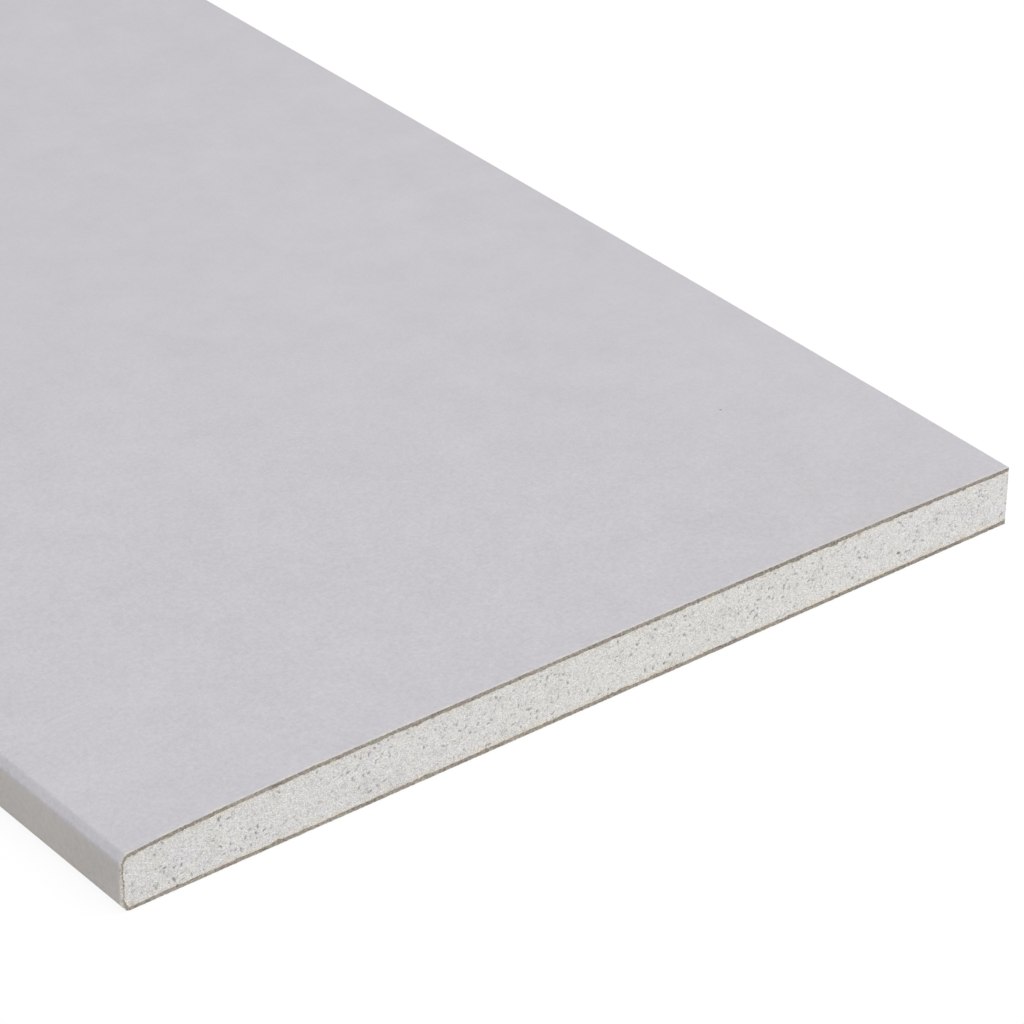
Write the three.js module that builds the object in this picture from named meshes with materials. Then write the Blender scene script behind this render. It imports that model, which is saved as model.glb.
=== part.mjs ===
// A cut length of tapered-edge drywall: a gypsum core between two paper liners.
//
// The face paper is one sheet. It lies over the face, follows its taper to the bound long
// edge, is creased over a bevelled shoulder, runs down the edge, leans in above the heel and
// is creased under it to a flap that the back paper laps. The other long edge and both ends
// are sawn, so all three layers end flush there.
//
// Millimetres, +Z up. The board lies on its back paper with its face up.
// X runs across the board, from the bound edge to the sawn edge. Y runs along it.
// The origin is the middle of the back.

import * as THREE from "three";

// The board
const boardLength = 1200;
const boardWidth = 193;
const boardThickness = 12.5;

// The liners: both papers have this thickness
const linerThickness = 0.8;

// The bound edge
const taperWidth = 60; // from the bound edge to where the face is level
const taperDepth = 1.65; // how far the face would drop by the bound edge
const edgeSlope = THREE.MathUtils.degToRad(5); // the taper's fall where it ends
const bevelWidth = 1.35; // how far the shoulder's bevel reaches in from the bound edge
const bevelSteepness = THREE.MathUtils.degToRad(45); // the bevel's fall towards the edge
const undercutWidth = 1.05; // how far the edge leans in by the heel
const undercutSteepness = THREE.MathUtils.degToRad(56); // the lean's rise from the back
const undercutBend = 1; // radius inside the paper's bend from edge to undercut
const creaseBend = 0.1; // radius inside the paper where it is creased

// The folded flap of face paper on the back
const bareFlapWidth = 8; // flap that shows beside the bound edge
const lapWidth = 12; // flap that lies behind the back paper

// Curve steps: a taper takes this many, and a bend takes twice as many
const curveSteps = 8;

const flapEnd = bareFlapWidth + lapWidth;

// The taper is one curve, level where it leaves the face and steepest at the shoulder.
const shoulderHeight =
  boardThickness - taperDepth + bevelWidth * Math.tan(edgeSlope);
const bevelFoot = shoulderHeight - bevelWidth * Math.tan(bevelSteepness);
const undercutTop = undercutWidth * Math.tan(undercutSteepness);

// Directions that the board's outside faces, counted from +X round to +Z
const taperFacing = Math.PI / 2 + edgeSlope;
const bevelFacing = Math.PI / 2 + bevelSteepness;
const edgeFacing = Math.PI;
const backFacing = 1.5 * Math.PI;
const undercutFacing = backFacing - undercutSteepness;

// The bends that carry the face paper round the bound edge, in order: the shoulder's crease,
// the crease at the bevel's foot, the undercut's bend and the heel's crease
const bends = [
  bend(bevelWidth, shoulderHeight, taperFacing, bevelFacing, creaseBend),
  bend(0, bevelFoot, bevelFacing, edgeFacing, creaseBend),
  bend(0, undercutTop, edgeFacing, undercutFacing, undercutBend),
  bend(undercutWidth, 0, undercutFacing, backFacing, creaseBend),
];

// A bend rounds the corner at x, y between two straight runs of the outer surface. Its
// centre lies one radius inside both runs.
function bend(x, y, facingBefore, facingAfter, insideRadius) {
  const radius = insideRadius + linerThickness;
  const inset = radius / (1 + Math.cos(facingAfter - facingBefore));
  return {
    radius,
    facingBefore,
    facingAfter,
    centreX: x - inset * (Math.cos(facingBefore) + Math.cos(facingAfter)),
    centreY: y - inset * (Math.sin(facingBefore) + Math.sin(facingAfter)),
  };
}

// The face paper's section at a depth under its outer surface: 0 is the outer surface and
// the liner's thickness is the inner one. x is counted from the bound edge, y is height.
// It runs from the sawn edge over the face and round the bound edge to the flap's end.
// A straight line joins each bend to what comes before it. Over the lap the flap thins
// away as the back paper comes in, so the two together stay one liner thick.
function facePaperLine(depth) {
  const level = boardThickness - depth;
  const shoulder = bends[0];
  const shoulderReach = shoulder.radius - depth;
  const taperEndX = shoulder.centreX + shoulderReach * Math.cos(taperFacing);
  const taperEndY = shoulder.centreY + shoulderReach * Math.sin(taperFacing);
  const taperControlX = taperEndX + (level - taperEndY) / Math.tan(edgeSlope);

  const line = new THREE.Path();
  line.moveTo(boardWidth, level);
  line.lineTo(taperWidth, level);
  line.quadraticCurveTo(taperControlX, level, taperEndX, taperEndY);
  for (const { centreX, centreY, radius, facingBefore, facingAfter } of bends) {
    line.absarc(centreX, centreY, radius - depth, facingBefore, facingAfter);
  }
  line.lineTo(bareFlapWidth + (lapWidth * depth) / linerThickness, depth);
  return line.getPoints(curveSteps);
}

const outerLine = facePaperLine(0);
const innerLine = facePaperLine(linerThickness);

// The sections of the three layers. The core is cast against the inside of the face paper,
// so both are drawn with the same line and meet face to face.
const facePaperSection = [...outerLine, ...[...innerLine].reverse()];

const coreSection = [...innerLine, new THREE.Vector2(boardWidth, linerThickness)];

const backPaperSection = [
  new THREE.Vector2(bareFlapWidth, 0),
  new THREE.Vector2(boardWidth, 0),
  new THREE.Vector2(boardWidth, linerThickness),
  new THREE.Vector2(flapEnd, linerThickness),
];

// A layer of the board: its section carried along the board's whole length.
function layer(name, section, material) {
  const geometry = new THREE.ExtrudeGeometry(new THREE.Shape(section), {
    depth: boardLength,
    bevelEnabled: false,
  });
  const mesh = new THREE.Mesh(geometry, material);
  mesh.name = name;
  return mesh;
}

const faceLiner = new THREE.MeshStandardMaterial({
  color: 0xc8c6cb,
  roughness: 0.85,
  metalness: 0,
});
const gypsum = new THREE.MeshStandardMaterial({
  color: 0xd3d2cf,
  roughness: 0.95,
  metalness: 0,
});
const backLiner = new THREE.MeshStandardMaterial({
  color: 0xa39b8e,
  roughness: 0.9,
  metalness: 0,
});

const board = new THREE.Group();
board.name = "drywall";
board.add(layer("face_paper", facePaperSection, faceLiner));
board.add(layer("gypsum_core", coreSection, gypsum));
board.add(layer("back_paper", backPaperSection, backLiner));

// Sections are drawn in X and Y and carried along Z, so the board is tipped up to bring
// its height onto Z and its length onto Y, and then centred.
board.rotation.x = Math.PI / 2;
board.position.set(-boardWidth / 2, boardLength / 2, 0);

export default board;
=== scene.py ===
import math
import bpy
import numpy as np
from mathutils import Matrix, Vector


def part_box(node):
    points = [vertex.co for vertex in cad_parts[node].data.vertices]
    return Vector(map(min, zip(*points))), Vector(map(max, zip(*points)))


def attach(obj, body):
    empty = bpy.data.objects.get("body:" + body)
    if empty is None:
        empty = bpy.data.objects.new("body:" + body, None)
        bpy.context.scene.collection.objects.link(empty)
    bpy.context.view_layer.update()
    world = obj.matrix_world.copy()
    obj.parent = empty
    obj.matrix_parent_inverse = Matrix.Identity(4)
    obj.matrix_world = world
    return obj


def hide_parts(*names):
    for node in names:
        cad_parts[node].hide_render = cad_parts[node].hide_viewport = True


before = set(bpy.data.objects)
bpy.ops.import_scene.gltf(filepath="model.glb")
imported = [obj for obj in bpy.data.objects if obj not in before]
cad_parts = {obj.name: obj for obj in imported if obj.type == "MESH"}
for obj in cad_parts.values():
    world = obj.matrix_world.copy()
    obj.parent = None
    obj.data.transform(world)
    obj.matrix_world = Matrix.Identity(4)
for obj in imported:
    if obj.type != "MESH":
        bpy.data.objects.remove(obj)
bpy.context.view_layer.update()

# Sizes in this script are millimetres in the board's own frame: x across from the bound
# edge to the sawn edge, y along, z up from the floor. Meshes turn into metres at the last.
metresPerMm = 0.001
faceLow, faceHigh = [np.array(corner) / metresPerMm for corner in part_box("face_paper")]
backLow, backHigh = [np.array(corner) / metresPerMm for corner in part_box("back_paper")]
linerThickness = backHigh[2] - backLow[2]
boardWidth, boardLength, boardThickness = faceHigh - faceLow
boundEdge, nearEnd = faceLow[:2]
sawnEdge, farEnd = faceHigh[:2]


cameraSettings = {
    "place": (-416.8, -1106.7, 436.2),
    "turn": 38.244,     # degrees from along the board towards the sawn edge
    "tip": 31.219,      # degrees below level
    "lens": 162.54,     # on a sensor 36 wide
}

stageSettings = {
    "floorSize": 60.0,        # metres
    "floorDrop": 0.0002,      # metres below the board, so that the two never coincide
    "floorColour": 0.86,
    "shadowShare": 0.08,      # how much of the floor's own shading the camera sees
    "skyLevel": 0.496,
    "keyLevel": 1.88,
    "keySpread": 50,          # degrees across the soft light
    "keyFrom": (0.15, -0.50, 0.85),
}


def makeCamera(settings):
    camera = bpy.data.objects.new("camera", bpy.data.cameras.new("camera"))
    camera.location = np.array(settings["place"]) * metresPerMm
    camera.rotation_euler = (
        math.radians(90 - settings["tip"]), 0, -math.radians(settings["turn"]))
    camera.data.sensor_width = 36
    camera.data.lens = settings["lens"]
    bpy.context.scene.collection.objects.link(camera)
    bpy.context.scene.camera = camera


def addNode(tree, kind, inputs=(), **settings):
    # a node with its settings made and its sockets filled: a socket links, a value is set
    node = tree.nodes.new(kind)
    for name, value in settings.items():
        setattr(node, name, value)
    for key, value in dict(inputs).items():
        if isinstance(value, bpy.types.NodeSocket):
            tree.links.new(value, node.inputs[key])
        else:
            node.inputs[key].default_value = value
    return node


def newMaterial(name):
    material = bpy.data.materials.new(name)
    material.use_nodes = True
    material.node_tree.nodes.clear()
    return material, material.node_tree


def seenDirectly(tree):
    # 1 where the camera looks, straight or by way of a mirror or glass
    path = addNode(tree, "ShaderNodeLightPath")
    seen = addNode(tree, "ShaderNodeMath", {
        0: path.outputs["Is Camera Ray"], 1: path.outputs["Is Glossy Ray"]},
        operation="MAXIMUM")
    return addNode(tree, "ShaderNodeMath", {
        0: seen.outputs[0], 1: path.outputs["Is Transmission Ray"]},
        operation="MAXIMUM").outputs[0]


def makeFloor(settings):
    half = settings["floorSize"] / 2
    drop = -settings["floorDrop"]
    corners = [(-half, -half, drop), (half, -half, drop), (half, half, drop), (-half, half, drop)]
    mesh = bpy.data.meshes.new("floor")
    mesh.from_pydata(corners, [], [(0, 1, 2, 3)])
    floor = bpy.data.objects.new("floor", mesh)
    bpy.context.scene.collection.objects.link(floor)

    # white to the camera, with a faint shadow; a plain pale floor to the light
    material, tree = newMaterial("floor")
    plain = addNode(tree, "ShaderNodeBsdfDiffuse", {
        "Color": (settings["floorColour"],) * 3 + (1,)})
    shaded = addNode(tree, "ShaderNodeBsdfDiffuse", {"Color": (1, 1, 1, 1)})
    white = addNode(tree, "ShaderNodeEmission", {"Strength": 1.0})
    shown = addNode(tree, "ShaderNodeMixShader", {
        0: settings["shadowShare"], 1: white.outputs[0], 2: shaded.outputs[0]})
    surface = addNode(tree, "ShaderNodeMixShader", {
        0: seenDirectly(tree), 1: plain.outputs[0], 2: shown.outputs[0]})
    addNode(tree, "ShaderNodeOutputMaterial", {"Surface": surface.outputs[0]})
    mesh.materials.append(material)


def makeLight(settings):
    world = bpy.data.worlds.new("sky")
    world.use_nodes = True
    tree = world.node_tree
    tree.nodes.clear()
    sky = addNode(tree, "ShaderNodeBackground", {
        "Color": (1, 1, 1, 1), "Strength": settings["skyLevel"]})
    white = addNode(tree, "ShaderNodeBackground", {"Color": (1, 1, 1, 1), "Strength": 1.0})
    surface = addNode(tree, "ShaderNodeMixShader", {
        0: seenDirectly(tree), 1: sky.outputs[0], 2: white.outputs[0]})
    addNode(tree, "ShaderNodeOutputWorld", {"Surface": surface.outputs[0]})
    bpy.context.scene.world = world

    key = bpy.data.objects.new("key", bpy.data.lights.new("key", "SUN"))
    key.data.energy = settings["keyLevel"]
    key.data.angle = math.radians(settings["keySpread"])
    x, y, z = settings["keyFrom"] / np.linalg.norm(settings["keyFrom"])
    key.rotation_euler = (math.acos(z), 0, math.atan2(x, -y))
    bpy.context.scene.collection.objects.link(key)


makeCamera(cameraSettings)
makeFloor(stageSettings)
makeLight(stageSettings)
bpy.context.scene.view_settings.view_transform = "Standard"
print("camera, floor and light are in place")


tableSize = 509     # a field repeats after this many cells


def smoothStep(t):
    t = np.clip(t, 0, 1)
    return t * t * (3 - 2 * t)


def between(value, start, end):
    # from 0 at the start to 1 at the end
    return smoothStep((value - start) / (end - start))


def latticeNoise(x, y, cell, seed):
    # random values from -1 to 1 on a square lattice, blended between by 3t^2 - 2t^3
    table = np.random.default_rng(seed).uniform(-1, 1, (tableSize, tableSize))
    column, row = np.floor(x / cell).astype(int), np.floor(y / cell).astype(int)
    s, t = smoothStep(x / cell - column), smoothStep(y / cell - row)

    def corner(i, j):
        return table[(column + i) % tableSize, (row + j) % tableSize]

    low = corner(0, 0) * (1 - s) + corner(1, 0) * s
    high = corner(0, 1) * (1 - s) + corner(1, 1) * s
    return low * (1 - t) + high * t


def layeredNoise(x, y, cell, seed, layers=3):
    # each layer has half the cell and half the height of the one before
    return sum(latticeNoise(x, y, cell / 2 ** k, seed + k) / 2 ** k for k in range(layers))


def hollows(x, y, settings):
    # Depth of scattered hollows, at most one to a lattice cell. At distance d from its
    # middle a hollow of radius r is sqrt(r^2 - d^2) deep, where d counts less along the
    # hollow's own direction by its stretch.
    rng = np.random.default_rng(settings["seed"])
    size = (tableSize, tableSize)
    cell = settings["cell"]
    offsetX, offsetY = rng.uniform(0, 1, size), rng.uniform(0, 1, size)
    radius = rng.uniform(*settings["radius"], size) * (rng.uniform(0, 1, size) < settings["share"])
    stretch = rng.uniform(*settings["stretch"], size)
    turn = np.radians(rng.uniform(*settings["turn"], size))
    depth = np.zeros(np.shape(x))
    for i in (-1, 0, 1):
        for j in (-1, 0, 1):
            column = np.floor(x / cell).astype(int) + i
            row = np.floor(y / cell).astype(int) + j
            at = (column % tableSize, row % tableSize)
            dx = x - (column + offsetX[at]) * cell
            dy = y - (row + offsetY[at]) * cell
            along = (dx * np.cos(turn[at]) + dy * np.sin(turn[at])) / stretch[at]
            beside = dy * np.cos(turn[at]) - dx * np.sin(turn[at])
            inside = np.clip(radius[at] ** 2 - along ** 2 - beside ** 2, 0, None)
            depth = np.maximum(depth, np.sqrt(inside))
    return depth


# the section that all three pieces share
sectionSettings = {
    "taperWidth": 60.0,
    "taperDepth": 1.65,
    "edgeSlope": math.radians(5),       # the taper's fall where it ends
    "bevelWidth": 1.35,
    "bevelSteepness": math.radians(45),
    "undercutWidth": 1.05,              # the lean of the bound side above the heel
    "undercutSteepness": math.radians(56),
    "undercutBend": 1.0,                # radii inside the liner's bends
    "creaseBend": 0.1,
    "flapEnd": 20.0,                    # from the bound edge
}
bareFlapWidth = backLow[0] - boundEdge
lapWidth = sectionSettings["flapEnd"] - bareFlapWidth
facingSlack = 0.01      # how far off a way a surface may face and still count as facing it


def facing(angle):
    return np.stack([np.cos(angle), np.sin(angle)], -1)


def linerOutline(settings, spacing, bendSpacing):
    # The liner's outer surface in section, from the sawn edge over the face and round the
    # bound edge to the flap's end. The face is level, the taper is the curve
    # (1-t)^2 a + 2t(1-t) b + t^2 c, each bend is an arc, and straight runs join them.
    # Returns points with x counted from the bound edge, and the way the surface faces.
    slope = settings["edgeSlope"]
    up, back = math.pi / 2, 1.5 * math.pi
    bevel = up + settings["bevelSteepness"]
    undercut = back - settings["undercutSteepness"]
    shoulder = boardThickness - settings["taperDepth"] + settings["bevelWidth"] * math.tan(slope)
    foot = shoulder - settings["bevelWidth"] * math.tan(settings["bevelSteepness"])
    lean = settings["undercutWidth"] * math.tan(settings["undercutSteepness"])
    bends = [
        ((settings["bevelWidth"], shoulder), up + slope, bevel, settings["creaseBend"]),
        ((0, foot), bevel, math.pi, settings["creaseBend"]),
        ((0, lean), math.pi, undercut, settings["undercutBend"]),
        ((settings["undercutWidth"], 0), undercut, back, settings["creaseBend"]),
    ]
    arcs = []
    for corner, before, after, inside in bends:
        radius = inside + linerThickness
        inset = radius / (1 + math.cos(after - before))
        centre = np.array(corner) - inset * (facing(before) + facing(after))
        count = max(4, math.ceil(radius * (after - before) / bendSpacing))
        angle = np.linspace(before, after, count)
        arcs.append((centre + radius * facing(angle), angle))

    def run(start, end, angle):
        # a straight run between two points, without the points themselves
        start, end = np.array(start), np.array(end)
        count = max(2, math.ceil(np.linalg.norm(end - start) / spacing))
        t = np.linspace(0, 1, count + 1)[1:-1, None]
        return start * (1 - t) + end * t, np.full(count - 1, angle)

    taperTop = np.array([settings["taperWidth"], boardThickness])
    taperFoot = arcs[0][0][0]
    bendPoint = np.array([
        taperFoot[0] + (boardThickness - taperFoot[1]) / math.tan(slope), boardThickness])
    t = np.linspace(0, 1, math.ceil(settings["taperWidth"] / spacing))[:-1, None]
    taper = (1 - t) ** 2 * taperTop + 2 * t * (1 - t) * bendPoint + t ** 2 * taperFoot
    taperFacing = up + slope * t[:, 0]
    sawnTop = np.array([boardWidth, boardThickness])
    flapTip = np.array([settings["flapEnd"], 0.0])
    runs = [
        (sawnTop[None], np.array([up])),
        run(sawnTop, taperTop, up),
        (taper, taperFacing),
        arcs[0],
        run(arcs[0][0][-1], arcs[1][0][0], bevel),
        arcs[1],
        run(arcs[1][0][-1], arcs[2][0][0], math.pi),
        arcs[2],
        run(arcs[2][0][-1], arcs[3][0][0], undercut),
        arcs[3],
        run(arcs[3][0][-1], flapTip, back),
        (flapTip[None], np.array([back])),
    ]
    return np.concatenate([r[0] for r in runs]), np.concatenate([r[1] for r in runs])


handlingSettings = {
    "cornerDip": 0.7,       # the face's sag at the near sawn corner
    "dipAcross": 68.0,      # how far the sag reaches across and along
    "dipAlong": 130.0,
    "sawWander": 0.5,       # how far in the saw strayed along the sawn edge
    "wanderStart": 160.0,   # from the near end
    "wanderLength": 400.0,
    "sawLean": 0.2,         # how much narrower the board is at its back than at its face
}


def settle(points, settings):
    # The board sags towards the near sawn corner by dip s^2 t^2, where s and t fall evenly
    # from 1 at the corner to 0 at the sag's reach. Its width shrinks by the saw's
    # wander, w (1 - cos a) / 2, where a turns once in each wander's length, and by the
    # saw's lean, which grows as the square of the depth below the face.
    fromEnd = points[:, 1] - nearEnd
    s = np.clip(1 - (sawnEdge - points[:, 0]) / settings["dipAcross"], 0, 1)
    t = np.clip(1 - fromEnd / settings["dipAlong"], 0, 1)
    turn = 2 * math.pi * np.clip(fromEnd - settings["wanderStart"], 0, None)
    wander = settings["sawWander"] * (1 - np.cos(turn / settings["wanderLength"])) / 2
    lean = settings["sawLean"] * (1 - points[:, 2] / boardThickness) ** 2
    points[:, 2] *= 1 - settings["cornerDip"] / boardThickness * s ** 2 * t ** 2
    points[:, 0] -= (wander + lean) * (points[:, 0] - boundEdge) / boardWidth
    return points


def gridQuads(index, flip=False):
    # four corners for each cell of a two-way grid of vertex numbers
    quads = np.stack([index[:-1, :-1], index[1:, :-1], index[1:, 1:], index[:-1, 1:]], -1)
    quads = quads.reshape(-1, 4)
    return quads[:, ::-1] if flip else quads


def slabFaces(shape):
    # the six outside faces of a three-way lattice, facing out when the three ways are
    # right-handed
    index = np.arange(np.prod(shape)).reshape(shape)
    return np.concatenate([
        gridQuads(index[0], flip=True), gridQuads(index[-1]),
        gridQuads(index[:, 0]), gridQuads(index[:, -1], flip=True),
        gridQuads(index[:, :, 0], flip=True), gridQuads(index[:, :, -1])])


def zipStrip(outer, inner, flip=False):
    # Triangles between two rows of vertices of unlike counts, the inner row on the left.
    # Both rows run from 0 to 1 in equal steps, and each edge's third corner is the last
    # vertex of the other row that the strip has passed.
    outerAt = np.linspace(0, 1, len(outer))
    innerAt = np.linspace(0, 1, len(inner))
    j = np.clip(np.searchsorted(innerAt, outerAt[1:], side="left") - 1, 0, len(inner) - 1)
    i = np.searchsorted(outerAt, innerAt[1:], side="right") - 1
    triangles = np.concatenate([
        np.stack([outer[:-1], outer[1:], inner[j]], -1),
        np.stack([outer[i], inner[1:], inner[:-1]], -1)])
    return triangles[:, ::-1] if flip else triangles


def enclosedVolume(points, faces):
    # a closed surface holds the sum of p0 . (p1 x p2) / 6 over its triangles
    total = 0.0
    for corners in faces:
        for k in range(1, corners.shape[1] - 1):
            a, b, c = points[corners[:, 0]], points[corners[:, k]], points[corners[:, k + 1]]
            total += np.einsum("ij,ij->i", a, np.cross(b, c)).sum() / 6
    return total


hardAngle = math.radians(50)    # faces that meet more sharply than this aren't smoothed


def makePiece(name, node, points, faces, materials, slots=None, fields=()):
    # faces is a list of arrays, one for each number of corners; slots gives each face's
    # material, and fields are values that the materials read at the vertices
    if enclosedVolume(points, faces) < 0:
        faces = [corners[:, ::-1] for corners in faces]
    used, packed = np.unique(np.concatenate([c.ravel() for c in faces]), return_inverse=True)
    counts = np.concatenate([np.full(len(c), c.shape[1]) for c in faces])
    mesh = bpy.data.meshes.new(name)
    mesh.vertices.add(len(used))
    mesh.vertices.foreach_set("co", (points[used] * metresPerMm).astype(np.float32).ravel())
    mesh.loops.add(len(packed))
    mesh.loops.foreach_set("vertex_index", packed.astype(np.int32))
    mesh.polygons.add(len(counts))
    mesh.polygons.foreach_set("loop_start", (np.cumsum(counts) - counts).astype(np.int32))
    mesh.polygons.foreach_set("loop_total", counts.astype(np.int32))
    mesh.polygons.foreach_set("use_smooth", np.ones(len(counts), bool))
    for material in materials:
        mesh.materials.append(material)
    if slots is not None:
        mesh.polygons.foreach_set("material_index", slots.astype(np.int32))
    for fieldName, values in dict(fields).items():
        layer = mesh.attributes.new(fieldName, "FLOAT", "POINT")
        layer.data.foreach_set("value", values[used].astype(np.float32))
    mesh.update(calc_edges=True)
    mesh.validate()
    mesh.set_sharp_from_angle(angle=hardAngle)
    piece = bpy.data.objects.new(name, mesh)
    bpy.context.scene.collection.objects.link(piece)
    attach(piece, "root")
    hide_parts(node)
    print(name, "has", int((counts - 2).sum()), "triangles")


def newGroup(name, inputs, outputs):
    group = bpy.data.node_groups.new(name, "ShaderNodeTree")
    for socketName, kind, value in inputs:
        socket = group.interface.new_socket(socketName, in_out="INPUT", socket_type=kind)
        if value is not None:
            socket.default_value = value
    for socketName, kind in outputs:
        group.interface.new_socket(socketName, in_out="OUTPUT", socket_type=kind)
    return group, group.nodes.new("NodeGroupInput"), group.nodes.new("NodeGroupOutput")


def makeCloudGroup():
    # soft patches: noise of a given size in millimetres, whose run of 0.2 to 0.8 is stretched
    # to -1 to 1
    group, start, end = newGroup(
        "clouds",
        [("Place", "NodeSocketVector", None), ("Size", "NodeSocketFloat", 10.0),
         ("Detail", "NodeSocketFloat", 2.0), ("Roughness", "NodeSocketFloat", 0.55)],
        [("Value", "NodeSocketFloat")])
    scale = addNode(group, "ShaderNodeMath", {
        0: 1 / metresPerMm, 1: start.outputs["Size"]}, operation="DIVIDE")
    noise = addNode(group, "ShaderNodeTexNoise", {
        "Vector": start.outputs["Place"], "Scale": scale.outputs[0],
        "Detail": start.outputs["Detail"], "Roughness": start.outputs["Roughness"]})
    centred = addNode(group, "ShaderNodeMapRange", {
        "Value": noise.outputs["Fac"], "From Min": 0.2, "From Max": 0.8, "To Min": -1.0})
    group.links.new(centred.outputs[0], end.inputs["Value"])
    return group


def makeFibreGroup():
    # matted paper fibres: noises drawn out along and across the board, whose sum's run of
    # 0.6 to 1.4 is stretched to -1 to 1
    group, start, end = newGroup(
        "fibres",
        [("Place", "NodeSocketVector", None), ("Length", "NodeSocketFloat", 3.0),
         ("Width", "NodeSocketFloat", 0.3)],
        [("Value", "NodeSocketFloat")])
    values = []
    for direction in (0, 1):
        sizes = [start.outputs["Width"], start.outputs["Length"]]
        stretch = addNode(group, "ShaderNodeCombineXYZ", {
            "X": sizes[direction], "Y": sizes[1 - direction], "Z": start.outputs["Width"]})
        place = addNode(group, "ShaderNodeVectorMath", {
            0: start.outputs["Place"], 1: stretch.outputs[0]}, operation="DIVIDE")
        noise = addNode(group, "ShaderNodeTexNoise", {
            "Vector": place.outputs[0], "Scale": 1 / metresPerMm, "Detail": 2.0,
            "Roughness": 0.6})
        values.append(noise.outputs["Fac"])
    both = addNode(group, "ShaderNodeMath", {0: values[0], 1: values[1]}, operation="ADD")
    centred = addNode(group, "ShaderNodeMapRange", {
        "Value": both.outputs[0], "From Min": 0.6, "From Max": 1.4, "To Min": -1.0})
    group.links.new(centred.outputs[0], end.inputs["Value"])
    return group


def makeSpeckGroup():
    # scattered specks: 1 inside a ragged speck, 0 outside. A share of the cells hold one,
    # each with half to all of the radius, and it fades over the outer half of its own.
    group, start, end = newGroup(
        "specks",
        [("Place", "NodeSocketVector", None), ("Spacing", "NodeSocketFloat", 5.0),
         ("Radius", "NodeSocketFloat", 0.3), ("Share", "NodeSocketFloat", 0.5)],
        [("Mask", "NodeSocketFloat")])
    scale = addNode(group, "ShaderNodeMath", {
        0: 1 / metresPerMm, 1: start.outputs["Spacing"]}, operation="DIVIDE")
    finer = addNode(group, "ShaderNodeMath", {
        0: 1 / metresPerMm, 1: start.outputs["Radius"]}, operation="DIVIDE")
    noise = addNode(group, "ShaderNodeTexNoise", {
        "Vector": start.outputs["Place"], "Scale": finer.outputs[0], "Detail": 0.0})
    aside = addNode(group, "ShaderNodeVectorMath", {
        0: noise.outputs["Color"], 1: (0.5, 0.5, 0.5)}, operation="SUBTRACT")
    reach = addNode(group, "ShaderNodeMath", {
        0: start.outputs["Radius"], 1: 2 * metresPerMm}, operation="MULTIPLY")
    shift = addNode(group, "ShaderNodeVectorMath", {
        0: aside.outputs[0], "Scale": reach.outputs[0]}, operation="SCALE")
    place = addNode(group, "ShaderNodeVectorMath", {
        0: start.outputs["Place"], 1: shift.outputs[0]}, operation="ADD")
    cells = addNode(group, "ShaderNodeTexVoronoi", {
        "Vector": place.outputs[0], "Scale": scale.outputs[0]})
    chance = addNode(group, "ShaderNodeSeparateColor", {0: cells.outputs["Color"]})
    holds = addNode(group, "ShaderNodeMath", {
        0: chance.outputs[0], 1: start.outputs["Share"]}, operation="LESS_THAN")
    distance = addNode(group, "ShaderNodeMath", {
        0: cells.outputs["Distance"], 1: start.outputs["Spacing"]}, operation="MULTIPLY")
    own = addNode(group, "ShaderNodeMapRange", {"Value": chance.outputs[1], "To Min": 0.5})
    radius = addNode(group, "ShaderNodeMath", {
        0: start.outputs["Radius"], 1: own.outputs[0]}, operation="MULTIPLY")
    inner = addNode(group, "ShaderNodeMath", {0: radius.outputs[0], 1: 0.5}, operation="MULTIPLY")
    mask = addNode(group, "ShaderNodeMapRange", {
        "Value": distance.outputs[0], "From Min": inner.outputs[0],
        "From Max": radius.outputs[0], "To Min": 1.0, "To Max": 0.0},
        interpolation_type="SMOOTHSTEP")
    both = addNode(group, "ShaderNodeMath", {
        0: mask.outputs[0], 1: holds.outputs[0]}, operation="MULTIPLY")
    group.links.new(both.outputs[0], end.inputs["Mask"])
    return group


cloudGroup = makeCloudGroup()
fibreGroup = makeFibreGroup()
speckGroup = makeSpeckGroup()


def useGroup(tree, group, **inputs):
    # a group's output, with its named inputs filled
    return addNode(tree, "ShaderNodeGroup", inputs, node_tree=group).outputs[0]


def clouds(tree, place, size, detail=2.0, roughness=0.55):
    return useGroup(tree, cloudGroup, Place=place, Size=size, Detail=detail, Roughness=roughness)


def fibres(tree, place, length, width):
    return useGroup(tree, fibreGroup, Place=place, Length=length, Width=width)


def specks(tree, place, spacing, radius, share):
    return useGroup(tree, speckGroup, Place=place, Spacing=spacing, Radius=radius, Share=share)


def attribute(tree, name):
    return addNode(tree, "ShaderNodeAttribute", attribute_name=name).outputs["Fac"]


def ramp(tree, value, start, end, first=0.0, last=1.0, kind="SMOOTHSTEP"):
    # from first to last as the value goes from start to end
    return addNode(tree, "ShaderNodeMapRange", {
        "Value": value, "From Min": start, "From Max": end, "To Min": first, "To Max": last},
        interpolation_type=kind).outputs[0]


def product(tree, first, second):
    return addNode(tree, "ShaderNodeMath", {0: first, 1: second}, operation="MULTIPLY").outputs[0]


def passed(tree, value, edge, blur):
    # 0 before an edge and 1 past it, blurred by a share of the edge's own value
    return ramp(tree, value, product(tree, edge, 1 - blur), product(tree, edge, 1 + blur))


def weighted(tree, terms, start=1.0):
    # start plus each value times its weight
    total = start
    for value, weight in terms:
        total = addNode(tree, "ShaderNodeMath", {
            0: value, 1: weight, 2: total}, operation="MULTIPLY_ADD").outputs[0]
    return total


def mixColour(tree, share, first, second):
    # sockets 6 and 7 and output 2 are the node's colours
    mix = addNode(tree, "ShaderNodeMix", {0: share, 6: first, 7: second}, data_type="RGBA")
    return mix.outputs[2]


def darker(tree, first, second):
    # the stronger of two shades
    return addNode(tree, "ShaderNodeMath", {0: first, 1: second}, operation="MAXIMUM").outputs[0]


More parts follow.
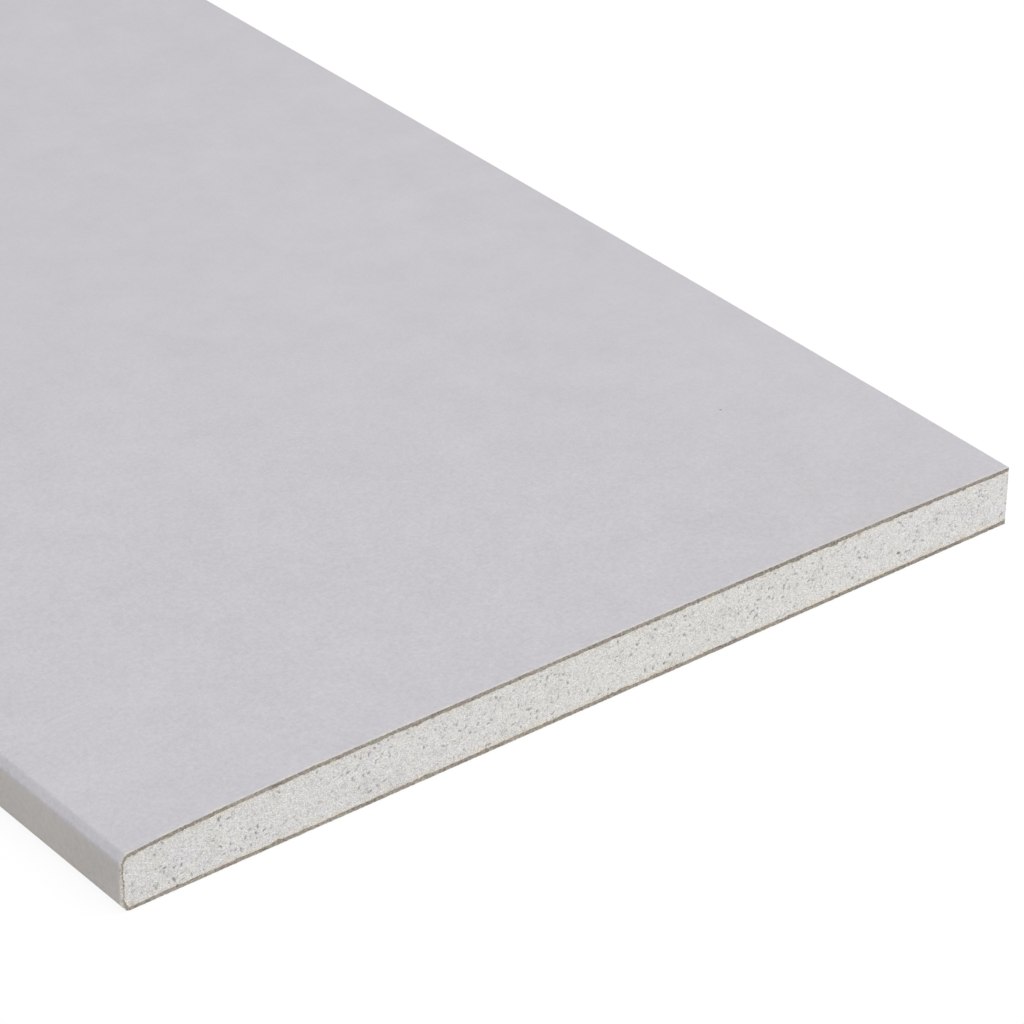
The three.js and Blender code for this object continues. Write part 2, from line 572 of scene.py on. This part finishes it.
def twoTones(tree, place, pattern, first, second):
    # two tones that run into each other over soft patches
    return mixColour(tree, ramp(tree, clouds(tree, place, **pattern), -0.4, 0.4), first, second)


def scaled(tree, colour, factor):
    return addNode(tree, "ShaderNodeVectorMath", {
        0: colour, "Scale": factor}, operation="SCALE").outputs[0]


spotCore = 0.4      # the share of a spot's radius over which it keeps its strength


def spot(tree, place, centre, radius, strength=1.0):
    # a spot on the face that fades to 0 at its radius
    offset = addNode(tree, "ShaderNodeVectorMath", {
        0: place, 1: [value * metresPerMm for value in (*centre, boardThickness)]},
        operation="DISTANCE").outputs["Value"]
    radius = radius * metresPerMm
    return ramp(tree, offset, radius * spotCore, radius, strength, 0.0)


def finishMaterial(tree, colour, height, bumpDepth, roughness, shine):
    # the shader every finish of this board ends in: matt, with its relief as bump
    bump = addNode(tree, "ShaderNodeBump", {
        "Strength": 1.0, "Distance": bumpDepth * metresPerMm, "Height": height})
    shader = addNode(tree, "ShaderNodeBsdfPrincipled", {
        "Base Color": colour, "Roughness": roughness, "Normal": bump.outputs[0],
        "Specular IOR Level": shine})
    addNode(tree, "ShaderNodeOutputMaterial", {"Surface": shader.outputs[0]})


faceSettings = {
    "tone": (0.574, 0.562, 0.596, 1),
    "boundTone": (0.577, 0.546, 0.524, 1),  # warmer round the bound edge
    "rimTone": (0.73, 0.66, 0.62, 1),       # paler along the cut
    "otherRimTone": (0.70, 0.68, 0.59, 1),
    "rimHue": {"size": 6.0, "detail": 4.0, "roughness": 0.75},
    "rimGaps": {"size": 2.5},
    "rimGapSpan": (-0.4, 0.3),
    "rimLeast": 0.2,        # how much of the rim a gap keeps
    "rimWidth": 0.75,
    "rimStrength": 1.05,
    "heelHeight": 7.0,      # up to here the bound side has painted light, paler towards the floor to make up for its shade there
    "heelPaintedLight": 0.06,
    "grimeReach": 30.0,     # how far the bound side's grime reaches from the cut ends
    "grime": -0.04,
    "dustFade": (20.0, 210.0),  # where the saw's dust thins out, from a cut end, midway across
    "dustSkew": 0.79,       # how much sooner it does for each millimetre towards the sawn edge
    "falloffReach": 400.0,     # painted falloff of the light: how far in the face goes on turning a little darker
    "paintedFalloff": -0.04,
    "broadPatches": {"size": 60.0, "detail": 3.0, "roughness": 0.8},
    "smallPatches": {"size": 14.0, "detail": 5.0, "roughness": 0.85},
    "fibre": {"length": 1.6, "width": 0.3},
    "dust": {"size": 0.85, "detail": 3.0, "roughness": 0.8},
    "broadWeight": 0.018,
    "smallWeight": 0.055,
    "fibreWeight": 0.008,
    "dustWeight": 0.103,
    "smudgePlace": (61.0, -595.0),  # a faint warm smudge by the near sawn corner
    "smudgeRadius": 40.0,
    "smudgeStrength": 0.17,
    "fleckPlace": (68.5, -552.8),   # one dark fleck pressed into the paper
    "fleckTone": (0.26, 0.25, 0.27, 1),
    "fleckRadius": 0.35,
    "bump": 0.02,
    "roughness": 0.82,
    "roughnessSpread": 0.04,
    "shine": 0.25,
}

linerSettings = {
    "spacing": 0.25,        # of the mesh along the section
    "bendSpacing": 0.12,
    "plies": 4,             # of the mesh through the thickness
    "edgeSteps": (0, 0.12, 0.35, 0.8, 1.8, 4, 10, 20, 35, 55, 80, 110, 140),
    "middleSpacing": 60,
    "fray": 0.22,           # how much the face liner's cut edge swells into the core
    "backFray": 0.16,       # and the back liner's
    "frayCell": 0.9,
    "burr": 0.30,           # how far its rare torn bits hang down
    "burrCell": 2.8,
    "cornerBurr": 0.33,     # how far the back liner stands up at the near sawn corner
    "cornerReach": 0.4,
    "faceSeed": 11,
    "backSeed": 31,
    "frayDepth": 0.6,       # how far in from the cut the fraying dies away
    "recess": 0.1,          # how far the cut edge steps back in places
    "recessCell": 0.4,
    "lapEdge": 0.07,        # the share of its thickness a liner keeps where it thins to an edge
    "boundBlend": (-0.8, 1.0),  # past the bevel's foot, where the bound side's tone comes in
    "sideBlend": (-1.6, 0.0),   # and where its cut edge turns paler
    "heelBlend": (0.4, 2.0),    # up to this height the heel's cut edge isn't paler
}

cutSettings = {
    "tone": (0.323, 0.308, 0.254, 1),
    "otherTone": (0.323, 0.282, 0.268, 1),
    "paleTone": (0.52, 0.49, 0.46, 1),
    "paleShare": 0.10,      # of the liner's thickness, over the face and the back
    "boundPaleShare": 0.5,  # down the bound side
    "paleBlur": 0.3,
    "bondTone": (0.68, 0.625, 0.55, 1),
    "bondShare": 0.07,      # of the thickness next to the core, soaked with plaster
    "bondBlur": 0.02,
    "boundBondShare": 0.16,     # how much more that is at the bound edge
    "boundBondReach": 15.0,
    "hue": {"size": 6.0, "detail": 4.0, "roughness": 0.75},
    "patches": {"size": 9.0, "detail": 5.0, "roughness": 0.75},
    "fibre": {"size": 0.5, "detail": 3.0, "roughness": 0.65},
    "patchWeight": 0.28,
    "fibreWeight": 0.68,
    "bump": 0.08,
    "roughness": 0.95,
    "shine": 0.1,
}


def makeFaceMaterial(settings):
    material, tree = newMaterial("facePaper")
    place = addNode(tree, "ShaderNodeTexCoord").outputs["Object"]
    across, _, height = addNode(tree, "ShaderNodeSeparateXYZ", {0: place}).outputs
    fromCut = attribute(tree, "fromCut")
    thinning = weighted(tree, [(across, settings["dustSkew"] / metresPerMm)], fromCut)
    dusty = ramp(tree, thinning, *settings["dustFade"], 1.0, 0.0)
    grimy = ramp(tree, fromCut, 0.0, settings["grimeReach"], 1.0, 0.0)
    rim = ramp(tree, fromCut, 0.0, settings["rimWidth"], settings["rimStrength"], 0.0)
    gaps = ramp(tree, clouds(tree, place, **settings["rimGaps"]),
                *settings["rimGapSpan"], settings["rimLeast"], 1.0)
    rimTone = twoTones(
        tree, place, settings["rimHue"], settings["otherRimTone"], settings["rimTone"])
    fibre = fibres(tree, place, **settings["fibre"])
    small = clouds(tree, place, **settings["smallPatches"])
    dust = clouds(tree, place, **settings["dust"])

    bound = attribute(tree, "boundShare")
    # painted light: the bound side turns paler towards the floor, where it is shaded
    heel = ramp(tree, height, 0.0, settings["heelHeight"] * metresPerMm, settings["heelPaintedLight"], 0.0)
    tone = mixColour(tree, bound, settings["tone"], settings["boundTone"])
    tone = mixColour(tree, product(tree, rim, gaps), tone, rimTone)
    smudge = spot(tree, place, settings["smudgePlace"], settings["smudgeRadius"],
                  settings["smudgeStrength"])
    tone = mixColour(tree, smudge, tone, settings["boundTone"])
    fleck = spot(tree, place, settings["fleckPlace"], settings["fleckRadius"])
    tone = mixColour(tree, fleck, tone, settings["fleckTone"])

    factor = weighted(tree, [
        (clouds(tree, place, **settings["broadPatches"]), settings["broadWeight"]),
        (small, settings["smallWeight"]),
        (fibre, settings["fibreWeight"]),
        # painted falloff of the light, darker away from the cut ends
        (ramp(tree, fromCut, 0.0, settings["falloffReach"]), settings["paintedFalloff"]),
        (product(tree, dust, dusty), settings["dustWeight"]),
        (product(tree, bound, grimy), settings["grime"]),
        (bound, heel)])
    roughness = weighted(tree, [(small, settings["roughnessSpread"])], settings["roughness"])
    finishMaterial(tree, scaled(tree, tone, factor), fibre,
                   settings["bump"], roughness, settings["shine"])
    return material


def makeCutMaterial(name, settings):
    material, tree = newMaterial(name)
    place = addNode(tree, "ShaderNodeTexCoord").outputs["Object"]
    fibre = clouds(tree, place, **settings["fibre"])
    ply = attribute(tree, "ply")
    inside = passed(tree, ply, attribute(tree, "paleShare"), settings["paleBlur"])
    soaked = passed(tree, ply, attribute(tree, "dryShare"), settings["bondBlur"])
    tone = twoTones(tree, place, settings["hue"], settings["tone"], settings["otherTone"])
    tone = mixColour(tree, inside, settings["paleTone"], tone)
    tone = mixColour(tree, soaked, tone, settings["bondTone"])
    factor = weighted(tree, [
        (clouds(tree, place, **settings["patches"]), settings["patchWeight"]),
        (fibre, settings["fibreWeight"])])
    finishMaterial(tree, scaled(tree, tone, factor), fibre,
                   settings["bump"], settings["roughness"], settings["shine"])
    return material


def dryShare(x, settings):
    # the share of a liner's thickness that plaster hasn't soaked: the soaked share grows
    # towards the bound edge as e^(-x / reach)
    soaked = settings["boundBondShare"] * np.exp(-x / settings["boundBondReach"])
    return 1 - settings["bondShare"] - soaked


def alongStations(settings):
    # distances along the board: fine steps at both ends, even ones between
    edge = np.array(settings["edgeSteps"])
    count = math.ceil((boardLength - 2 * edge[-1]) / settings["middleSpacing"])
    middle = np.linspace(edge[-1], boardLength - edge[-1], count + 1)
    return nearEnd + np.concatenate([edge[:-1], middle, boardLength - edge[:-1][::-1]])


def fromCutEnds(y):
    return np.minimum(y - nearEnd, farEnd - y)


def frayed(travelled, y, fray, seed, settings):
    # How far the liner's inner surface swells at the ends: noise over 0 to 1, with burrs
    # where a broader noise passes a half, both fading as e^(-distance / depth).
    fine = 0.5 + 0.5 * np.clip(layeredNoise(travelled, y * 0, settings["frayCell"], seed), -1, 1)
    broad = latticeNoise(travelled, y * 0, settings["burrCell"], seed + 5)
    burr = between(broad, 0.5, 1)
    fade = np.exp(-fromCutEnds(y) / settings["frayDepth"])
    return (fray + settings["burr"] * burr) * fine * fade


def stepBack(points, travelled, ply, seed, settings):
    # both cut ends stand back by up to the recess, by noise over the cut
    ends = fromCutEnds(points[:, 1]) == 0
    rough = 0.5 + 0.5 * latticeNoise(travelled, ply * linerThickness, settings["recessCell"], seed)
    inward = np.where(points[:, 1] == nearEnd, 1, -1)
    points[:, 1] += np.where(ends, inward * settings["recess"] * rough, 0)
    return points


def makeFacePaper(settings):
    # A slab with three ways: along the outline, from the outer surface to the inner one,
    # and along the board. A point is outline(u) - facing(u) depth.
    line, angle = linerOutline(sectionSettings, settings["spacing"], settings["bendSpacing"])
    y = alongStations(settings)
    plies = np.linspace(0, 1, settings["plies"] + 1)
    shape = (len(line), len(plies), len(y))
    u, v, w = (g.ravel() for g in np.meshgrid(np.arange(len(line)), plies, y, indexing="ij"))
    travelled = np.concatenate([[0], np.cumsum(np.linalg.norm(np.diff(line, axis=0), axis=1))])[u]
    x, z = line[u].T
    onBack = np.sin(angle[u]) < facingSlack - 1
    lap = np.clip((x - bareFlapWidth) / lapWidth, 0, 1 - settings["lapEdge"]) * onBack
    depth = (lap + (1 - lap) * v) * linerThickness
    depth += v * (1 - lap) * frayed(
        travelled, w, settings["fray"], settings["faceSeed"], settings)
    normal = facing(angle[u])
    points = np.stack([boundEdge + x - normal[:, 0] * depth, w, z - normal[:, 1] * depth], -1)
    points = stepBack(points, travelled, v, settings["faceSeed"] + 10, settings)
    quads = slabFaces(shape)
    cut = (np.ptp(w[quads], axis=1) == 0) | (np.ptp(u[quads], axis=1) == 0) & (u[quads[:, 0]] == 0)
    pastBevel = travelled - travelled[angle[u] < math.pi - facingSlack].max()
    bound = between(pastBevel, *settings["boundBlend"])
    onSide = between(pastBevel, *settings["sideBlend"]) * between(z, *settings["heelBlend"])
    pale = cutSettings["paleShare"] * (1 - onSide) + cutSettings["boundPaleShare"] * onSide
    makePiece(
        "facePaperSheet", "face_paper", settle(points, handlingSettings), [quads],
        [makeFaceMaterial(faceSettings), makeCutMaterial("faceCut", cutSettings)], cut,
        {"ply": v, "paleShare": pale, "dryShare": dryShare(x, cutSettings),
         "boundShare": bound, "fromCut": fromCutEnds(w)})


makeFacePaper(linerSettings)


backSettings = {
    "tone": (0.385, 0.345, 0.285, 1),
    "fleckTone": (0.16, 0.13, 0.10, 1),
    "fleckStrength": 0.6,
    "flecks": {"spacing": 4.0, "radius": 0.45, "share": 0.35},
    "patches": {"size": 22.0, "detail": 3.0},
    "mottle": {"size": 3.5, "detail": 4.0, "roughness": 0.7},
    "fibre": {"length": 2.5, "width": 0.35},
    "patchWeight": 0.05,
    "mottleWeight": 0.09,
    "fibreWeight": 0.08,
    "bump": 0.03,
    "roughness": 0.88,
    "shine": 0.2,
}

backCutSettings = {
    **cutSettings,
    "tone": (0.330, 0.307, 0.246, 1),
    "otherTone": (0.330, 0.280, 0.260, 1),
}


def makeBackMaterial(settings):
    material, tree = newMaterial("backPaper")
    place = addNode(tree, "ShaderNodeTexCoord").outputs["Object"]
    fibre = fibres(tree, place, **settings["fibre"])
    flecks = product(tree, specks(tree, place, **settings["flecks"]), settings["fleckStrength"])
    tone = mixColour(tree, flecks, settings["tone"], settings["fleckTone"])
    factor = weighted(tree, [
        (clouds(tree, place, **settings["patches"]), settings["patchWeight"]),
        (clouds(tree, place, **settings["mottle"]), settings["mottleWeight"]),
        (fibre, settings["fibreWeight"])])
    finishMaterial(tree, scaled(tree, tone, factor), fibre,
                   settings["bump"], settings["roughness"], settings["shine"])
    return material


def makeBackPaper(settings):
    # A slab with three ways: across, up through the liner, and along the board. It thins
    # to an edge over the lap as the flap's thickness comes in, and stands up at the near
    # sawn corner by a burr that fades as e^(-distance / reach).
    x = np.linspace(bareFlapWidth, boardWidth,
                    math.ceil((boardWidth - bareFlapWidth) / settings["spacing"]) + 1)
    y = alongStations(settings)
    plies = np.linspace(0, 1, settings["plies"] + 1)
    shape = (len(x), len(plies), len(y))
    u, v, w = (grid.ravel() for grid in np.meshgrid(x, plies, y, indexing="ij"))
    full = np.clip((u - bareFlapWidth) / lapWidth, settings["lapEdge"], 1)
    fromCorner = np.hypot(boardWidth - u, w - nearEnd)
    burr = settings["cornerBurr"] * np.exp(-fromCorner / settings["cornerReach"])
    fray = frayed(u, w, settings["backFray"], settings["backSeed"], settings)
    top = full * (linerThickness + fray + burr)
    points = np.stack([boundEdge + u, w, v * top], -1)
    points = stepBack(points, u, v, settings["backSeed"] + 10, settings)
    quads = slabFaces(shape)
    cut = (np.ptp(w[quads], axis=1) == 0) | (u[quads] == boardWidth).all(axis=1)
    makePiece(
        "backPaperSheet", "back_paper", settle(points, handlingSettings), [quads],
        [makeBackMaterial(backSettings), makeCutMaterial("backCut", backCutSettings)], cut,
        {"ply": v, "paleShare": np.full(len(v), cutSettings["paleShare"]),
         "dryShare": dryShare(u, cutSettings)})


makeBackPaper(linerSettings)


coreSettings = {
    "tone": (0.773, 0.766, 0.741, 1),
    "otherTone": (0.772, 0.759, 0.759, 1),
    "warmTone": (0.776, 0.765, 0.733, 1),   # over a stretch of the near end
    "warmPlace": (20.0, -600.0),
    "warmRadius": 62.0,
    "warmStrength": 0.55,
    "skinTone": (0.806, 0.731, 0.630, 1),   # the denser layer against the liners
    "shadeTone": (0.22, 0.21, 0.20, 1),     # painted shade inside the hollows
    "shadeDepth": 0.30,     # a hollow this deep is as dark as that
    "boundEdgeShade": 0.055,      # painted shade: how much darker the core is by the bound edge
    "hue": {"size": 4.0, "detail": 3.0, "roughness": 0.6},
    "skinGaps": {"size": 2.5},
    "strokes": {"size": 0.9},               # fine gaps between the crystals
    "strokeWidth": 0.14,
    "strokeGaps": {"size": 1.8, "detail": 3.0, "roughness": 0.7},
    "strokeOnset": 0.45,
    "drawnHollows": {"spacing": 0.9, "radius": 0.26, "share": 0.9},
    "grain": {"size": 0.24, "detail": 1.0},
    "crumbs": {"size": 0.48, "detail": 2.0, "roughness": 0.6},
    "crumbPeak": 0.9,       # where a crumb's shade is full
    "patches": {"size": 5.0, "detail": 3.0, "roughness": 0.8},
    "patchPeak": 0.8,
    "glints": {"spacing": 0.5, "radius": 0.14, "share": 0.35},
    "strokeShade": 0.42,    # how dark a stroke is
    "drawnShade": 0.95,     # and a hollow where it is only drawn
    "grainWeight": 0.25,
    "crumbWeight": 0.34,
    "patchWeight": 0.13,
    "glintWeight": 0.48,
    "bump": 0.06,
    "roughness": 0.95,
    "shine": 0.15,
    "outlineSpacing": 0.5,
    "outlineBendSpacing": 0.05,
    # hollows are modelled where the mesh is fine enough, and drawn elsewhere
    "nearSide": {"spacing": 0.17, "rows": 62, "modelled": 1, "seed": 61},
    "sawnSide": {"spacing": 2.0, "rows": 20, "modelled": 0, "seed": 81},
    "farSide": {"spacing": 1.0, "rows": 20, "modelled": 0, "seed": 71},
    "boundSide": {"spacing": 150.0, "rows": 20, "modelled": 0, "seed": 91},
    "arris": 0.06,          # how far the corner between two sawn faces is broken
    "arrisShade": 0.16,     # how much painted shade its crumbling holds
    "arrisReach": 0.25,
    "recess": 0.03,         # how far the sawn faces stand behind the liners' cut edges
    "grainHeight": 0.04,
    "grainCell": 0.5,
    "crumbleHeight": 0.05,
    "crumbleCell": 3.0,
    "skinDepth": 0.7,       # how far the skin's colour reaches from the liners
    "denseDepth": 0.3,      # and how far it has no hollows
    "hollowCut": 0.8,       # how much of a hollow's depth the saw left
    "sideShift": 7.0,       # how far along its noise each side starts, times its seed
    "quietCell": 3.5,       # how far apart the core's parts with and without hollows lie
    "quietSpan": (-0.8, 0.2),
    "smallHollows": {"seed": 51, "cell": 1.2, "radius": (0.07, 0.215), "share": 0.73,
                     "stretch": (1.2, 3.0), "turn": (0, 180)},
    "largeHollows": {"seed": 52, "cell": 7.0, "radius": (0.22, 0.36), "share": 0.24,
                     "stretch": (1, 1.8), "turn": (0, 180)},
    "cracks": {"seed": 53, "cell": 9.0, "radius": (0.10, 0.25), "share": 0.4,
               "stretch": (2, 3.5), "turn": (60, 120)},
    "lidInset": 8.0,        # how far the lids' coarse sheets lie inside the grids' rims
    "lidGap": 0.5,          # and on the bound side, where the rims are coarse too
    "lidColumns": 40,
    "lidRows": 60,
}


def makeGypsumMaterial(settings):
    material, tree = newMaterial("gypsum")
    place = addNode(tree, "ShaderNodeTexCoord").outputs["Object"]
    across = addNode(tree, "ShaderNodeSeparateXYZ", {0: place}).outputs["X"]
    # painted shade, from the bound edge fading evenly to the sawn edge
    acrossShade = ramp(tree, across, boundEdge * metresPerMm, sawnEdge * metresPerMm,
                -settings["boundEdgeShade"], 0.0, "LINEAR")
    grain = clouds(tree, place, **settings["grain"])
    crumbs = ramp(tree, clouds(tree, place, **settings["crumbs"]),
                  settings["crumbPeak"], 0.0, -1.0, 0.0)
    patches = ramp(tree, clouds(tree, place, **settings["patches"]),
                   settings["patchPeak"], 0.0, -1.0, 0.0)
    glints = specks(tree, place, **settings["glints"])

    # strokes follow the lines where a noise passes 0
    level = addNode(tree, "ShaderNodeMath", {
        0: clouds(tree, place, **settings["strokes"])}, operation="ABSOLUTE").outputs[0]
    strokes = product(tree, ramp(tree, level, 0.0, settings["strokeWidth"], 1.0, 0.0),
                      ramp(tree, clouds(tree, place, **settings["strokeGaps"]),
                           0.0, settings["strokeOnset"]))
    drawn = product(tree, specks(tree, place, **settings["drawnHollows"]),
                    attribute(tree, "drawn"))
    dark = darker(tree, attribute(tree, "hollow"), product(tree, drawn, settings["drawnShade"]))
    dark = darker(tree, dark, product(tree, strokes, settings["strokeShade"]))

    skin = product(tree, attribute(tree, "skin"),
                   ramp(tree, clouds(tree, place, **settings["skinGaps"]), -0.4, 0.4))
    tone = twoTones(tree, place, settings["hue"], settings["tone"], settings["otherTone"])
    warm = spot(tree, place, settings["warmPlace"], settings["warmRadius"],
                settings["warmStrength"])
    tone = mixColour(tree, warm, tone, settings["warmTone"])
    tone = mixColour(tree, skin, tone, settings["skinTone"])
    # painted shade: hollows, drawn hollows, strokes and the crumbled arris are darkened towards the
    # shade tone
    tone = mixColour(tree, dark, tone, settings["shadeTone"])
    factor = weighted(tree, [
        (grain, settings["grainWeight"]), (crumbs, settings["crumbWeight"]),
        (patches, settings["patchWeight"]), (glints, settings["glintWeight"]), (acrossShade, 1.0)])
    finishMaterial(tree, scaled(tree, tone, factor), grain,
                   settings["bump"], settings["roughness"], settings["shine"])
    return material


def cutRelief(along, up, dense, side, settings):
    # How far a sawn face lies behind its flat, grain and crumble by noise, and how deep
    # the hollows in it are: small ones in the core's busy parts, large ones anywhere,
    # neither where the core is dense, and cracks. A coarse mesh has only broad crumble.
    seed = side["seed"]
    along = along + seed * settings["sideShift"]
    busy = between(latticeNoise(along, up, settings["quietCell"], seed + 4),
                   *settings["quietSpan"])
    holes = np.maximum(hollows(along, up, settings["smallHollows"]) * busy,
                       hollows(along, up, settings["largeHollows"])) * (1 - dense)
    holes = np.maximum(holes, hollows(along, up, settings["cracks"])) * side["modelled"]
    grain = (1 + layeredNoise(along, up, settings["grainCell"], seed)) / 2 * side["modelled"]
    crumbleCell = max(settings["crumbleCell"], 3 * side["spacing"])
    crumble = (1 + layeredNoise(along, up, crumbleCell, seed + 9)) / 2
    rough = settings["grainHeight"] * grain + settings["crumbleHeight"] * crumble
    return settings["recess"] + rough + holes * settings["hollowCut"], holes


def makeCore(settings):
    # Four upright grids stand round the plan: near end, sawn edge, far end, bound side.
    # Their feet and heads follow the inside of the liners, and zipped strips join them at
    # the corners. Two lids close them, each a coarse sheet zipped to the grids' rims.
    line, angle = linerOutline(
        sectionSettings, settings["outlineSpacing"], settings["outlineBendSpacing"])
    inner = line - facing(angle) * linerThickness
    upright = np.flatnonzero(np.isclose(inner[:, 0], inner[:, 0].min()))
    head, foot = inner[:upright[0] + 1][::-1], inner[upright[-1]:]
    left, right = inner[:, 0].min(), boardWidth
    arris = settings["arris"]

    def headOf(x):
        return np.interp(x, head[:, 0], head[:, 1])

    def footOf(x):
        return np.interp(x, foot[:, 0], foot[:, 1])

    sides = [
        (settings["nearSide"], (left, nearEnd), (right - arris, nearEnd), (0, 1)),
        (settings["sawnSide"], (right, nearEnd + arris), (right, farEnd - arris), (-1, 0)),
        (settings["farSide"], (right - arris, farEnd), (left, farEnd), (0, -1)),
        (settings["boundSide"], (left, farEnd - arris), (left, nearEnd + arris), (0, 0)),
    ]
    points, hollow, drawn, skin, grids = [], [], [], [], []
    for side, start, end, inward in sides:
        length = math.dist(start, end)
        columns = math.ceil(length / side["spacing"]) + 1
        s, t = np.meshgrid(np.linspace(0, 1, columns),
                           np.linspace(0, 1, side["rows"] + 1), indexing="ij")
        x = start[0] + (end[0] - start[0]) * s
        y = start[1] + (end[1] - start[1]) * s
        low, high = footOf(x), headOf(x)
        z = low + (high - low) * t
        fromLiner = np.minimum(z - low, high - z)
        dense = np.exp(-fromLiner / settings["denseDepth"])
        depth, holes = cutRelief(s * length, z, dense, side, settings)
        grids.append(sum(len(p) for p in points) + np.arange(x.size).reshape(x.shape))
        points.append(np.stack([
            boundEdge + x + inward[0] * depth, y + inward[1] * depth, z], -1).reshape(-1, 3))
        # painted shade along the crumbled arris by the sawn edge
        shade = settings["arrisShade"] * np.exp((x - right) / settings["arrisReach"])
        hollow.append(np.clip(holes / settings["shadeDepth"] + shade, 0, 1).ravel())
        drawn.append(np.full(x.size, 1 - side["modelled"]))
        skin.append(np.exp(-fromLiner / settings["skinDepth"]).ravel())

    quads = [gridQuads(grid) for grid in grids]
    following = grids[1:] + grids[:1]
    triangles = [zipStrip(after[0], grid[-1]) for grid, after in zip(grids, following)]
    inset, gap = settings["lidInset"], settings["lidGap"]
    lidX, lidY = np.meshgrid(
        np.linspace(left + gap, right - inset, settings["lidColumns"]),
        np.linspace(nearEnd + inset, farEnd - inset, settings["lidRows"]), indexing="ij")
    for row, heightOf, flip in ((-1, headOf, False), (0, footOf, True)):
        lid = sum(len(p) for p in points) + np.arange(lidX.size).reshape(lidX.shape)
        points.append(np.stack([
            boundEdge + lidX, lidY, heightOf(lidX)], -1).reshape(-1, 3))
        hollow.append(np.zeros(lidX.size))
        drawn.append(np.zeros(lidX.size))
        skin.append(np.ones(lidX.size))
        quads.append(gridQuads(lid, flip))
        rims = (lid[:, 0], lid[-1], lid[::-1, -1], lid[0, ::-1])
        for grid, after, rim in zip(grids, following, rims):
            triangles.append(zipStrip(np.append(grid[:, row], after[0, row]), rim, flip))
    makePiece(
        "gypsumSlab", "gypsum_core",
        settle(np.concatenate(points), handlingSettings),
        [np.concatenate(quads), np.concatenate(triangles)], [makeGypsumMaterial(settings)],
        None, {"hollow": np.concatenate(hollow), "drawn": np.concatenate(drawn),
               "skin": np.concatenate(skin)})


makeCore(coreSettings)
